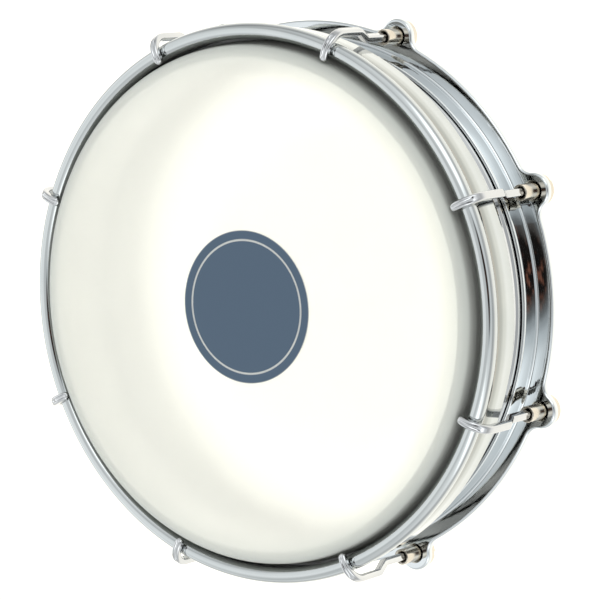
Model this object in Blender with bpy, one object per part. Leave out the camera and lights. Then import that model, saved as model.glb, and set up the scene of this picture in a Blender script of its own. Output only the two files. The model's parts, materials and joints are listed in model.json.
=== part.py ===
"""Tamborim, 6 inch: a chromed steel shell, a loose ring with eight ears, a hoop with a rolled
bead, a tucked film head, and eight claw hooks drawn down by eight sleeve nuts.

Metres, +Z up. The drum lies on the rear edge of its shell with the head on top. The drum's axis is
the Z axis, and the first ear points along +X.
"""

import math

import bmesh
import bpy
from mathutils import Matrix, Vector

# Driving dimensions, in metres

# Clearance of every running fit, and under every piece that is seated on another
FIT = 0.0003

# Shell: rolled from 1.2 mm steel, both edges turned in, with a stop rib for the ring
SHELL_R = 0.0762
SHELL_HEIGHT = 0.04445
SHELL_WALL = 0.0012
SHELL_EDGE_BEND = 0.0028
SHELL_EDGE_LIP = 0.0033
SHELL_REAR_LIP = 0.0028
RIB_Z = 0.0172
RIB_HALF = 0.0013
RIB_HEIGHT = 0.0009
RIB_SHOULDER_RISE = 0.00056
RIB_SHOULDER_HALF = 0.0007

# Counter hoop: a straight skirt below a bead that is curled outwards over the top and back
HOOP_DROP = 0.0025
HOOP_HEIGHT = 0.01455
BEAD_RADIUS = 0.00235
BEAD_CORE = 0.00125
BEAD_INSET = 0.00085
BEAD_START_DEG = -42
BEAD_END_DEG = 266
BEAD_CORE_START_DEG = -30
NECK_DROP = 0.0041
SKIRT_GAP = 0.0004
SKIRT_WALL = 0.0012
SKIRT_EDGE = 0.00036

# Flesh hoop: a channel round the shell, open towards the head
CHANNEL_DROP = 0.0024
CHANNEL_HEIGHT = 0.0073
CHANNEL_WIDTH = 0.0034
CHANNEL_WALL = 0.0006
CHANNEL_INNER_STEP = 0.0008

# Head: flat film, its shoulder over the shell's edge, and its collar down into the channel
FILM = 0.00025
FILM_BEND = 0.0030
FILM_FLARE_START = 0.0006
FILM_FLARE_END = 0.0006
FILM_END_GAP = 0.0007
DISC_R = 0.0225

# Ring: an L section whose leg slides on the shell below the rib, with eight ears
RING_PLAY = 0.0004
LEG_WALL = 0.0011
LEG_RISE = 0.0069
LEG_EDGE = 0.0003
LEG_TOP_EDGE = 0.0004
FLANGE_REACH = 0.0062
FLANGE_THICKNESS = 0.0021
FLANGE_ROUND = 0.0008
FLANGE_UNDER_EDGE = 0.0005
EARS = 8
EAR_R = 0.0053
EAR_FILLET = 0.0042
HOLE_LEAD = 0.0004

# Sleeve nut: a barrel that passes up through the ear, and a slotted round head below it
BARREL_D = 0.0048
BARREL_RISE = 0.0070
BARREL_EDGE = 0.0002
NUT_HEAD_D = 0.0096
NUT_HEAD_HEIGHT = 0.0023
NUT_HEAD_ROUND = 0.0008
MOUTH_D = 0.0040
SLOT_WIDTH = 0.0012
SLOT_DEPTH = 0.0010
SLOT_FIRST_DEG = 20
SLOT_STEP_DEG = 37

# Claw hook: one wire, threaded below, squared and set outwards round the hoop, then a flat bar
# that turns over the bead in one arc and ends in a grooved leaf with a round tip
WIRE_D = 0.0025
ROD_END_GAP = 0.0004
ROD_CHAMFER = 0.0003
THREAD_SINK = 0.0008
SQUARE_RUN = 0.0012
SQUARE_SIDE = 0.0023
SQUARE_EDGE = 0.0005
SHANK_GAP = 0.00075
SET_DROP = 0.0026
SET_LENGTH = 0.0044
SET_BEND = 0.0016
BAR_GAP = 0.00165
BAR_WIDTH = 0.0025
BAR_THICKNESS = 0.0022
BAR_EDGE = 0.00045
CLAW_BEND = 0.0056
CLAW_THICKNESS = 0.0020
CLAW_WIDTH = 0.0027
CLAW_TIP_WIDTH = 0.0025
CLAW_TIP_ROUND = 0.0012
CLAW_TIP_BLUNT = 0.0006
CLAW_OVERHANG = 0.0009
GROOVE_DEPTH = 0.0004

# Fineness of the round pieces
ROUND_STEPS = 48
NUT_STEPS = 12
EAR_STEPS = 3
EAR_FILLET_STEPS = 2
RIM_STEPS = 5
BEND_STEPS = 3
LEAST_BEND_STEPS = 2
CLAW_STEPS = 7
CLAW_TIP_STEPS = 3

# Faces closer than this angle are shaded as one
SMOOTH_DEG = 38

# Looks of the pieces: colour, metallic value and roughness
CHROME_LOOK = ((0.78, 0.80, 0.82), 1.0, 0.08)
NICKEL_LOOK = ((0.80, 0.76, 0.68), 1.0, 0.18)
FILM_LOOK = ((0.93, 0.93, 0.90), 0.0, 0.35)
PRINT_LOOK = ((0.09, 0.13, 0.18), 0.0, 0.4)
CHANNEL_LOOK = ((0.72, 0.73, 0.74), 1.0, 0.35)
CUTTER_LOOK = ((0.5, 0.5, 0.5), 0.0, 0.5)

# Share of a round wire's width that each corner of its octagon cuts off
OCTAGON_CORNER = 1 - math.sqrt(0.5)

# Largest corner of a hook's section, as a share of half its width, and half the groove's width
MOST_CORNER = 0.6
GROOVE_SHARE = 0.38

# Where the leaf has its full width, and where its groove starts, as shares of the claw's length
LEAF_SHARE = 0.5
GROOVE_START_SHARE = 0.3

# Radii that follow, from the shell outwards
SHELL_FIT_R = SHELL_R + FIT
CHANNEL_OUTER_R = SHELL_FIT_R + CHANNEL_WIDTH
FILM_CHANNEL_R = SHELL_FIT_R + CHANNEL_WALL + FIT
SKIRT_R = CHANNEL_OUTER_R + SKIRT_GAP + SKIRT_WALL
BEAD_R = SKIRT_R - BEAD_INSET
BEAD_OUTER_R = BEAD_R + BEAD_RADIUS
FLANGE_R = SHELL_FIT_R + FLANGE_REACH
EAR_PITCH_R = SKIRT_R + SHANK_GAP + SQUARE_SIDE / 2
BAR_R = BEAD_OUTER_R + BAR_GAP + BAR_THICKNESS / 2
CLAW_TIP_R = BEAD_R - BEAD_RADIUS - CLAW_OVERHANG
CLAW_CENTRE_R = BAR_R - CLAW_BEND

# Heights that follow, from the bearing edge down to the skirt
FILM_BOTTOM_Z = SHELL_HEIGHT + FIT
BEAD_Z = SHELL_HEIGHT - HOOP_DROP - BEAD_RADIUS
SKIRT_BOTTOM_Z = SHELL_HEIGHT - HOOP_DROP - HOOP_HEIGHT
CHANNEL_TOP_Z = BEAD_Z - CHANNEL_DROP
CHANNEL_BOTTOM_Z = CHANNEL_TOP_Z - CHANNEL_HEIGHT
SET_START_Z = SKIRT_BOTTOM_Z - SET_DROP
SET_END_Z = SET_START_Z + SET_LENGTH

# The claw's arc: its inner face bears on the bead, and its centre line ends at the tip's radius
CLAW_ROOM = CLAW_BEND - CLAW_THICKNESS / 2 - FIT - BEAD_RADIUS
CLAW_CENTRE_Z = BEAD_Z - math.sqrt(CLAW_ROOM ** 2 - (BEAD_R - CLAW_CENTRE_R) ** 2)
CLAW_TURN = math.pi / 2 + math.asin((CLAW_CENTRE_R - CLAW_TIP_R) / CLAW_BEND)
CLAW_LENGTH = CLAW_BEND * CLAW_TURN
CLAW_TIP_SHARE = CLAW_TIP_ROUND / CLAW_LENGTH

# Heights that follow, from the rib down to the nuts
LEG_TOP_Z = RIB_Z - RIB_HALF - RING_PLAY
FLANGE_TOP_Z = LEG_TOP_Z - LEG_RISE
FLANGE_BOTTOM_Z = FLANGE_TOP_Z - FLANGE_THICKNESS
NUT_HEAD_TOP_Z = FLANGE_BOTTOM_Z - FIT
NUT_HEAD_BOTTOM_Z = NUT_HEAD_TOP_Z - NUT_HEAD_HEIGHT
BARREL_TOP_Z = FLANGE_TOP_Z + BARREL_RISE
ROD_BOTTOM_Z = NUT_HEAD_TOP_Z + ROD_END_GAP
SQUARE_START_Z = BARREL_TOP_Z - THREAD_SINK

# Bores that follow
BORE_D = WIRE_D + 2 * FIT
HOLE_D = BARREL_D + 2 * FIT


def arc(centre_r, centre_z, radius, start_deg, end_deg, steps):
    """Points on an arc in the (r, z) plane, both ends included."""
    points = []
    for i in range(steps + 1):
        a = math.radians(start_deg + (end_deg - start_deg) * i / steps)
        points.append((centre_r + radius * math.cos(a), centre_z + radius * math.sin(a)))
    return points


def rounded(corners):
    """Points of an open outline in the (r, z) plane, whose corners (r, z, radius) become arcs."""
    points = [corners[0][:2]]
    for (r0, z0, _), (r, z, radius), (r1, z1, _) in zip(corners, corners[1:], corners[2:]):
        if radius == 0:
            points.append((r, z))
            continue
        here = Vector((r, z))
        before = (Vector((r0, z0)) - here).normalized()
        after = (Vector((r1, z1)) - here).normalized()
        half = before.angle(after) / 2
        centre = here + (before + after).normalized() * (radius / math.sin(half))
        start = here + before * (radius / math.tan(half)) - centre
        end = here + after * (radius / math.tan(half)) - centre
        sweep = start.angle_signed(end)
        steps = max(LEAST_BEND_STEPS, round(BEND_STEPS * abs(sweep) / (math.pi / 2)))
        for k in range(steps + 1):
            points.append(tuple(centre + Matrix.Rotation(-sweep * k / steps, 2) @ start))
    points.append(corners[-1][:2])
    return points


def smooth_step(value, start, end):
    t = min(1.0, max(0.0, (value - start) / (end - start)))
    return t * t * (3 - 2 * t)


def blend(first, second, share):
    return first + (second - first) * share


def finish_shading(mesh):
    mesh.shade_smooth()
    mesh.set_sharp_from_angle(angle=math.radians(SMOOTH_DEG))


def new_material(name, colour, metallic, roughness):
    material = bpy.data.materials.new(name)
    material.use_nodes = True
    shader = material.node_tree.nodes["Principled BSDF"]
    shader.inputs["Base Color"].default_value = (*colour, 1.0)
    shader.inputs["Metallic"].default_value = metallic
    shader.inputs["Roughness"].default_value = roughness
    material.diffuse_color = (*colour, 1.0)
    return material


def add_object(name, points, faces, look, origin=(0.0, 0.0, 0.0)):
    """A mesh object from world-space points, with its origin where a joint or the drum needs it."""
    base = Vector(origin)
    mesh = bpy.data.meshes.new(name)
    mesh.from_pydata([tuple(Vector(p) - base) for p in points], [], faces)
    tidy = bmesh.new()
    tidy.from_mesh(mesh)
    bmesh.ops.recalc_face_normals(tidy, faces=tidy.faces)
    tidy.to_mesh(mesh)
    tidy.free()
    finish_shading(mesh)
    obj = bpy.data.objects.new(name, mesh)
    obj.location = base
    bpy.context.scene.collection.objects.link(obj)
    mesh.materials.append(new_material(name, *look))
    return obj


def revolved(profile, steps, centre=(0.0, 0.0)):
    """Points and faces of a closed (r, z) profile turned about a vertical axis. A profile point
    at r = 0 becomes one pole."""
    points = []
    rows = []
    for r, z in profile:
        if r == 0:
            rows.append([len(points)] * steps)
            points.append((centre[0], centre[1], z))
            continue
        row = []
        for i in range(steps):
            a = 2 * math.pi * i / steps
            row.append(len(points))
            points.append((centre[0] + r * math.cos(a), centre[1] + r * math.sin(a), z))
        rows.append(row)
    faces = []
    count = len(profile)
    for j in range(count):
        lower = rows[j]
        upper = rows[(j + 1) % count]
        if lower[0] == lower[1] and upper[0] == upper[1]:
            continue
        for i in range(steps):
            k = (i + 1) % steps
            ring = [lower[i], lower[k], upper[k], upper[i]]
            face = []
            for index in ring:
                if index not in face:
                    face.append(index)
            faces.append(face)
    return points, faces


def cut(obj, cutter):
    """Cuts one solid from another, keeps the result as plain mesh and drops the cutter."""
    cutter.hide_render = True
    cutter.display_type = "WIRE"
    modifier = obj.modifiers.new("cut", "BOOLEAN")
    modifier.operation = "DIFFERENCE"
    modifier.solver = "EXACT"
    modifier.object = cutter
    bpy.context.view_layer.update()
    graph = bpy.context.evaluated_depsgraph_get()
    result = bpy.data.meshes.new_from_object(obj.evaluated_get(graph))
    obj.modifiers.remove(modifier)
    old = obj.data
    obj.data = result
    bpy.data.meshes.remove(old)
    result.name = obj.name
    finish_shading(result)
    bpy.data.objects.remove(cutter)


def ear_angle(index):
    return 2 * math.pi * index / EARS


def shell_profile():
    """The wall's section: rear edge turned in flat, stop rib, and a rounded bearing edge."""
    inner = SHELL_R - SHELL_WALL
    bend_r = SHELL_R - SHELL_EDGE_BEND
    bend_z = SHELL_HEIGHT - SHELL_EDGE_BEND
    edge_lip_r = SHELL_R - SHELL_EDGE_LIP
    rear_lip_r = SHELL_R - SHELL_REAR_LIP
    outer = [(rear_lip_r, 0.0)]
    outer += arc(inner, SHELL_WALL, SHELL_WALL, -90, 0, 2)
    outer += [(SHELL_R, RIB_Z - RIB_HALF)]
    outer += [(SHELL_R + RIB_SHOULDER_RISE, RIB_Z - RIB_SHOULDER_HALF)]
    outer += [(SHELL_R + RIB_HEIGHT, RIB_Z)]
    outer += [(SHELL_R + RIB_SHOULDER_RISE, RIB_Z + RIB_SHOULDER_HALF)]
    outer += [(SHELL_R, RIB_Z + RIB_HALF)]
    outer += arc(bend_r, bend_z, SHELL_EDGE_BEND, 0, 90, 3)
    outer += [(edge_lip_r, SHELL_HEIGHT)]
    inside = [(edge_lip_r, SHELL_HEIGHT - SHELL_WALL)]
    inside += arc(bend_r, bend_z, SHELL_EDGE_BEND - SHELL_WALL, 90, 0, 2)
    inside += [(inner, RIB_Z + RIB_HALF)]
    inside += [(inner + RIB_HEIGHT, RIB_Z)]
    inside += [(inner, RIB_Z - RIB_HALF)]
    inside += [(inner, SHELL_WALL)]
    inside += [(rear_lip_r, SHELL_WALL)]
    return outer + inside


def hoop_profile():
    """The hoop's section: skirt, neck, and the bead curled outwards over the top and back."""
    inner = SKIRT_R - SKIRT_WALL
    neck_z = BEAD_Z - NECK_DROP
    outer = [(SKIRT_R - SKIRT_EDGE, SKIRT_BOTTOM_Z)]
    outer += [(SKIRT_R, SKIRT_BOTTOM_Z + SKIRT_EDGE)]
    outer += [(SKIRT_R, neck_z)]
    outer += arc(BEAD_R, BEAD_Z, BEAD_RADIUS, BEAD_START_DEG, BEAD_END_DEG, 11)
    inside = arc(BEAD_R, BEAD_Z, BEAD_CORE, BEAD_END_DEG, BEAD_CORE_START_DEG, 6)
    inside += [(inner, neck_z - SKIRT_EDGE)]
    inside += [(inner, SKIRT_BOTTOM_Z)]
    return outer + inside


def film_profile():
    """The film's section: flat top, shoulder over the bearing edge, collar into the channel."""
    bend_r = SHELL_FIT_R - FILM_BEND
    bend_z = FILM_BOTTOM_Z - FILM_BEND
    collar_z = BEAD_Z - FILM_FLARE_START
    flare_z = CHANNEL_TOP_Z - FILM_FLARE_END
    end_z = CHANNEL_BOTTOM_Z + CHANNEL_WALL + FILM_END_GAP
    upper = [(0.0, FILM_BOTTOM_Z + FILM)]
    upper += [(DISC_R, FILM_BOTTOM_Z + FILM)]
    upper += arc(bend_r, bend_z, FILM_BEND + FILM, 90, 0, 4)
    upper += [(SHELL_FIT_R + FILM, collar_z)]
    upper += [(FILM_CHANNEL_R + FILM, flare_z)]
    upper += [(FILM_CHANNEL_R + FILM, end_z)]
    under = [(FILM_CHANNEL_R, end_z)]
    under += [(FILM_CHANNEL_R, flare_z)]
    under += [(SHELL_FIT_R, collar_z)]
    under += arc(bend_r, bend_z, FILM_BEND, 0, 90, 4)
    under += [(0.0, FILM_BOTTOM_Z)]
    return upper + under


def channel_profile():
    """The channel's section: a U whose inner wall ends lower than its outer one."""
    low = CHANNEL_BOTTOM_Z + CHANNEL_WALL
    inner_top = CHANNEL_TOP_Z - CHANNEL_INNER_STEP
    return [
        (SHELL_FIT_R, CHANNEL_BOTTOM_Z),
        (CHANNEL_OUTER_R, CHANNEL_BOTTOM_Z),
        (CHANNEL_OUTER_R, CHANNEL_TOP_Z),
        (CHANNEL_OUTER_R - CHANNEL_WALL, CHANNEL_TOP_Z),
        (CHANNEL_OUTER_R - CHANNEL_WALL, low),
        (SHELL_FIT_R + CHANNEL_WALL, low),
        (SHELL_FIT_R + CHANNEL_WALL, inner_top),
        (SHELL_FIT_R, inner_top),
    ]


def ear_outline():
    """One eighth of the flange's outline, as (x, y, normal x, normal y), about the +X ear."""
    reach = FLANGE_R + EAR_FILLET
    span = EAR_R + EAR_FILLET
    cosine = (reach**2 + EAR_PITCH_R**2 - span**2) / (2 * reach * EAR_PITCH_R)
    turn = math.acos(cosine)
    fillet_x = reach * math.cos(turn)
    fillet_y = reach * math.sin(turn)
    ear_end = math.atan2(fillet_y, fillet_x - EAR_PITCH_R)
    half = [(EAR_PITCH_R + EAR_R, 0.0, 1.0, 0.0)]
    for i in range(1, EAR_STEPS + 1):
        a = ear_end * i / EAR_STEPS
        half.append((EAR_PITCH_R + EAR_R * math.cos(a), EAR_R * math.sin(a), math.cos(a), math.sin(a)))
    sweep = turn - ear_end
    for i in range(1, EAR_FILLET_STEPS + 1):
        a = ear_end + math.pi + sweep * i / EAR_FILLET_STEPS
        x = fillet_x + EAR_FILLET * math.cos(a)
        y = fillet_y + EAR_FILLET * math.sin(a)
        half.append((x, y, -math.cos(a), -math.sin(a)))
    mirrored = [(x, -y, nx, -ny) for x, y, nx, ny in reversed(half[1:])]
    between = []
    for i in range(1, RIM_STEPS):
        a = turn + (2 * math.pi / EARS - 2 * turn) * i / RIM_STEPS
        between.append((FLANGE_R * math.cos(a), FLANGE_R * math.sin(a), math.cos(a), math.sin(a)))
    return mirrored + half + between


def ring_section():
    """The ring's section, as distances in from the outline on the rim and as radii on the leg."""
    leg_r = SHELL_FIT_R + LEG_WALL
    section = []
    for x, z in arc(FLANGE_ROUND, FLANGE_TOP_Z - FLANGE_ROUND, FLANGE_ROUND, 90, 180, 2):
        section.append(("rim", x, z))
    section += [
        ("rim", 0.0, FLANGE_BOTTOM_Z + FLANGE_UNDER_EDGE),
        ("rim", FLANGE_UNDER_EDGE, FLANGE_BOTTOM_Z),
        ("leg", SHELL_FIT_R, FLANGE_BOTTOM_Z),
        ("leg", SHELL_FIT_R, LEG_TOP_Z - LEG_EDGE),
        ("leg", SHELL_FIT_R + LEG_EDGE, LEG_TOP_Z),
        ("leg", leg_r - LEG_TOP_EDGE, LEG_TOP_Z),
        ("leg", leg_r, LEG_TOP_Z - LEG_TOP_EDGE),
        ("leg", leg_r, FLANGE_TOP_Z),
    ]
    return section


def ring_mesh():
    """The L ring: every station of the eared outline carries the same section."""
    section = ring_section()
    stations = []
    for index in range(EARS):
        turn = Matrix.Rotation(ear_angle(index), 2)
        for x, y, nx, ny in ear_outline():
            stations.append((turn @ Vector((x, y)), turn @ Vector((nx, ny))))
    points = []
    for spot, normal in stations:
        for kind, value, z in section:
            flat = spot - normal * value if kind == "rim" else spot.normalized() * value
            points.append((flat.x, flat.y, z))
    faces = []
    width = len(section)
    for s in range(len(stations)):
        following = (s + 1) % len(stations)
        for j in range(width):
            k = (j + 1) % width
            faces.append((s * width + j, following * width + j, following * width + k, s * width + k))
    return points, faces


def hole_cutter():
    """Eight barrel holes, each with a small countersink at the top of its ear."""
    half = HOLE_D / 2
    profile = [
        (0.0, FLANGE_BOTTOM_Z - HOLE_LEAD),
        (half, FLANGE_BOTTOM_Z - HOLE_LEAD),
        (half, FLANGE_TOP_Z - HOLE_LEAD),
        (half + 2 * HOLE_LEAD, FLANGE_TOP_Z + HOLE_LEAD),
        (0.0, FLANGE_TOP_Z + HOLE_LEAD),
    ]
    points = []
    faces = []
    for index in range(EARS):
        a = ear_angle(index)
        centre = (EAR_PITCH_R * math.cos(a), EAR_PITCH_R * math.sin(a))
        some_points, some_faces = revolved(profile, NUT_STEPS, centre)
        shift = len(points)
        points += some_points
        faces += [[i + shift for i in face] for face in some_faces]
    return add_object("hole_cutter", points, faces, CUTTER_LOOK)


def nut_profile():
    """The sleeve nut's section: head, barrel, and a blind bore open at the top."""
    mouth_depth = (MOUTH_D - BORE_D) / 2
    round_r = NUT_HEAD_D / 2 - NUT_HEAD_ROUND
    profile = [(0.0, NUT_HEAD_BOTTOM_Z)]
    profile += arc(round_r, NUT_HEAD_BOTTOM_Z + NUT_HEAD_ROUND, NUT_HEAD_ROUND, -90, 0, 1)
    profile += [(NUT_HEAD_D / 2, NUT_HEAD_TOP_Z)]
    profile += [(BARREL_D / 2, NUT_HEAD_TOP_Z)]
    profile += [(BARREL_D / 2, BARREL_TOP_Z - BARREL_EDGE)]
    profile += [(BARREL_D / 2 - BARREL_EDGE, BARREL_TOP_Z)]
    profile += [(MOUTH_D / 2, BARREL_TOP_Z)]
    profile += [(BORE_D / 2, BARREL_TOP_Z - mouth_depth)]
    profile += [(BORE_D / 2, NUT_HEAD_TOP_Z)]
    profile += [(0.0, NUT_HEAD_TOP_Z)]
    return profile


def slot_cutter(centre, turn):
    """A box across the nut's head for a screwdriver."""
    half_length = NUT_HEAD_D
    half_width = SLOT_WIDTH / 2
    low = NUT_HEAD_BOTTOM_Z - SLOT_DEPTH
    high = NUT_HEAD_BOTTOM_Z + SLOT_DEPTH
    points = []
    for z in (low, high):
        for x, y in ((-1, -1), (1, -1), (1, 1), (-1, 1)):
            flat = Matrix.Rotation(turn, 2) @ Vector((x * half_length, y * half_width))
            points.append((centre[0] + flat.x, centre[1] + flat.y, z))
    faces = [(3, 2, 1, 0), (4, 5, 6, 7), (0, 1, 5, 4), (1, 2, 6, 5), (2, 3, 7, 6), (3, 0, 4, 7)]
    return add_object("slot_cutter", points, faces, CUTTER_LOOK)


def shank_size(z):
    """Width, thickness and corner of the wire below the shoulder."""
    chamfer = 2 * max(0.0, ROD_BOTTOM_Z + ROD_CHAMFER - z)
    squared = smooth_step(z, SQUARE_START_Z, SQUARE_START_Z + SQUARE_RUN)
    flattened = smooth_step(z, SET_START_Z, SET_END_Z)
    side = blend(WIRE_D - chamfer, SQUARE_SIDE, squared)
    corner = blend(OCTAGON_CORNER * WIRE_D, SQUARE_EDGE, squared)
    width = blend(side, BAR_WIDTH, flattened)
    thickness = blend(side, BAR_THICKNESS, flattened)
    return width, thickness, blend(corner, BAR_EDGE, flattened), 0.0


def claw_size(share):
    """Width, thickness, corner and groove depth at a share of the claw's length."""
    spread = smooth_step(share, 0.0, LEAF_SHARE)
    narrowed = smooth_step(share, LEAF_SHARE, 1.0)
    to_end = max(0.0, (share - 1 + CLAW_TIP_SHARE) / CLAW_TIP_SHARE)
    rounding = math.sqrt(1 - to_end ** 2)
    width = blend(blend(BAR_WIDTH, CLAW_WIDTH, spread), CLAW_TIP_WIDTH, narrowed)
    thickness = blend(BAR_THICKNESS, CLAW_THICKNESS, spread)
    groove = GROOVE_DEPTH * smooth_step(share, GROOVE_START_SHARE, LEAF_SHARE) * (1 - narrowed)
    return (
        blend(CLAW_TIP_BLUNT, width, rounding),
        blend(CLAW_TIP_BLUNT, thickness, math.sqrt(rounding)),
        BAR_EDGE,
        groove,
    )


def hook_stations():
    """Spots (r, z) of the wire's centre line from its threaded end to the claw's tip, each with
    the size of its section."""
    shank = rounded(
        [
            (EAR_PITCH_R, ROD_BOTTOM_Z, 0),
            (EAR_PITCH_R, ROD_BOTTOM_Z + ROD_CHAMFER, 0),
            (EAR_PITCH_R, SQUARE_START_Z, 0),
            (EAR_PITCH_R, SQUARE_START_Z + SQUARE_RUN, 0),
            (EAR_PITCH_R, SET_START_Z, SET_BEND),
            (BAR_R, SET_END_Z, SET_BEND),
            (BAR_R, CLAW_CENTRE_Z, 0),
        ]
    )
    stations = [(spot, shank_size(spot[1])) for spot in shank]
    shares = [(1 - CLAW_TIP_SHARE) * (i + 1) / CLAW_STEPS for i in range(CLAW_STEPS)]
    for i in range(CLAW_TIP_STEPS):
        quarter = math.pi / 2 * (i + 1) / CLAW_TIP_STEPS
        shares.append(1 - CLAW_TIP_SHARE * (1 - math.sin(quarter)))
    for share in shares:
        turn = CLAW_TURN * share
        r = CLAW_CENTRE_R + CLAW_BEND * math.cos(turn)
        z = CLAW_CENTRE_Z + CLAW_BEND * math.sin(turn)
        stations.append(((r, z), claw_size(share)))
    return stations


def hook_section(width, thickness, corner, groove):
    """Points of one section as (sideways, outwards), with the groove on the outer face."""
    w = width / 2
    h = thickness / 2
    c = min(corner, MOST_CORNER * w, MOST_CORNER * h)
    lip = GROOVE_SHARE * w
    return [
        (-w + c, h),
        (-lip, h),
        (0.0, h - groove),
        (lip, h),
        (w - c, h),
        (w, h - c),
        (w, -h + c),
        (w - c, -h),
        (-w + c, -h),
        (-w, -h + c),
        (-w, h - c),
    ]


def hook_mesh(index):
    """The claw hook of one ear, swept from the threaded end to the claw's tip."""
    a = ear_angle(index)
    radial = Vector((math.cos(a), math.sin(a), 0.0))
    side = Vector((-math.sin(a), math.cos(a), 0.0))
    up = Vector((0.0, 0.0, 1.0))
    stations = hook_stations()
    path = [Vector(spot) for spot, size in stations]
    points = []
    for i, (spot, (_, size)) in enumerate(zip(path, stations)):
        run = (path[min(i + 1, len(path) - 1)] - path[max(i - 1, 0)]).normalized()
        outwards = radial * run.y - up * run.x
        for sideways, out in hook_section(*size):
            points.append(radial * spot.x + up * spot.y + side * sideways + outwards * out)
    count = len(points) // len(path)
    faces = [tuple(range(count))]
    for s in range(len(path) - 1):
        for j in range(count):
            k = (j + 1) % count
            faces.append((s * count + j, s * count + k, (s + 1) * count + k, (s + 1) * count + j))
    last = (len(path) - 1) * count
    faces.append(tuple(range(last + count - 1, last - 1, -1)))
    return points, faces


def print_disc(mesh):
    """Colours the round print in the middle of the film's top."""
    mesh.materials.append(new_material("disc_print", *PRINT_LOOK))
    for face in mesh.polygons:
        if face.center.z > FILM_BOTTOM_Z and face.center.xy.length < DISC_R:
            face.material_index = 1


def clear_scene():
    for obj in list(bpy.data.objects):
        bpy.data.objects.remove(obj)
    for material in list(bpy.data.materials):
        bpy.data.materials.remove(material)


def build():
    clear_scene()
    add_object("shell", *revolved(shell_profile(), ROUND_STEPS), CHROME_LOOK)
    add_object("counter_hoop", *revolved(hoop_profile(), ROUND_STEPS), CHROME_LOOK)
    film = add_object("drum_head", *revolved(film_profile(), ROUND_STEPS), FILM_LOOK)
    print_disc(film.data)
    add_object("flesh_hoop", *revolved(channel_profile(), ROUND_STEPS), CHANNEL_LOOK)
    ring = add_object("tension_ring", *ring_mesh(), CHROME_LOOK)
    cut(ring, hole_cutter())
    for index in range(EARS):
        a = ear_angle(index)
        centre = (EAR_PITCH_R * math.cos(a), EAR_PITCH_R * math.sin(a))
        number = index + 1
        points, faces = revolved(nut_profile(), NUT_STEPS, centre)
        nut = add_object(f"tuning_nut_{number}", points, faces, NICKEL_LOOK, (*centre, FLANGE_BOTTOM_Z))
        slot_turn = math.radians(SLOT_FIRST_DEG + SLOT_STEP_DEG * index)
        cut(nut, slot_cutter(centre, a + slot_turn))
        points, faces = hook_mesh(index)
        add_object(f"claw_hook_{number}", points, faces, CHROME_LOOK, (*centre, BARREL_TOP_Z))


build()
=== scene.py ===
"""Looks of the tamborim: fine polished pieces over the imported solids, a white floor and soft light.

Metres, +Z up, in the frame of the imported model: the drum lies on z = 0 with its head on top, its
axis is the Z axis, and the first ear of the ring points along +X.
"""

import json
import math

import bmesh
import bpy
from mathutils import Matrix, Vector


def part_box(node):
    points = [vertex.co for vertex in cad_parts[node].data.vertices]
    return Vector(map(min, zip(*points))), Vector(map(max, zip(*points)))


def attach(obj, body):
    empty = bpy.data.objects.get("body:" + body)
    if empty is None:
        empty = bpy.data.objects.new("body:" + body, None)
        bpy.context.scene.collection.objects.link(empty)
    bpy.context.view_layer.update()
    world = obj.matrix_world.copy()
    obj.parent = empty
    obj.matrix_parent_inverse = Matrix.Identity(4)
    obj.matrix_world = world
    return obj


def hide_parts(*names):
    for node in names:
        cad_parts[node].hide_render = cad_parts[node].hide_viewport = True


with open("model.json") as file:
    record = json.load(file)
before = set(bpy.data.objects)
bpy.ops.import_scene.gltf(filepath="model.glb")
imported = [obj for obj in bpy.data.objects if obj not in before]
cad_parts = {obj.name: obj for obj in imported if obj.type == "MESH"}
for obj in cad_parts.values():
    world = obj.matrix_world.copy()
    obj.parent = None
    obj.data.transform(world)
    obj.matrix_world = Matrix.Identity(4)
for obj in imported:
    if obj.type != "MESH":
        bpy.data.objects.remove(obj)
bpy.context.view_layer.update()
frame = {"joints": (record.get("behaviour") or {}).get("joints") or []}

# Sizes read from the frame
shell_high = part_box("shell")[1]
hoop_low, hoop_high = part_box("counter_hoop")
film_low, film_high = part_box("drum_head")
channel_low, channel_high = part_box("flesh_hoop")
ring_low, ring_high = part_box("tension_ring")
nut_low, nut_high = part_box("tuning_nut_1")
hook_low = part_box("claw_hook_1")[0]
nut_joints = [j for j in frame["joints"] if j["type"] == "hinge"]
EARS = len(nut_joints)
EAR_PITCH_R = math.hypot(*nut_joints[0]["pos_m"][:2])

# Clearance of every running fit, and under every piece that is seated on another
FIT = 0.0003

# How far a cutter passes the face that it cuts
CUT_PAST = 0.0005

# Shell. The solid's rib stands out by RIB_HEIGHT, and the finer one here by RIB_CREST. Its rear
# edge is bent in by SHELL_REAR_BEND outside and SHELL_REAR_HOLLOW inside.
RIB_HEIGHT = 0.0009
SHELL_R = shell_high.x - RIB_HEIGHT
SHELL_HEIGHT = shell_high.z
SHELL_WALL = 0.0012
SHELL_EDGE_BEND = 0.0028
SHELL_EDGE_LIP_R = 0.0729
SHELL_LIP_ROUND = 0.0006
SHELL_REAR_LIP_R = 0.0734
SHELL_REAR_BEND = 0.0012
SHELL_REAR_HOLLOW = 0.0004
RIB_Z = 0.0172
RIB_HALF = 0.0013
RIB_CREST = 0.0006
RIB_CREST_HALF = 0.0004
RIB_FILLET = 0.0005
RIB_HOLLOW_HALF = 0.0002
RIB_HOLLOW_FILLET = 0.0002
RIB_INNER_FILLET = 0.0004

# Hoop
BEAD_RADIUS = 0.00235
BEAD_CORE = 0.00125
BEAD_R = hoop_high.x - BEAD_RADIUS
BEAD_Z = hoop_high.z - BEAD_RADIUS
SKIRT_R = 0.0815
SKIRT_WALL = 0.0012
SKIRT_BOTTOM_Z = hoop_low.z
SKIRT_INNER_EDGE = 0.0004
SKIRT_OUTER_EDGE = 0.0005
BEAD_START_DEG = -42
BEAD_END_DEG = 266
CORE_END_DEG = -30

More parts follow.
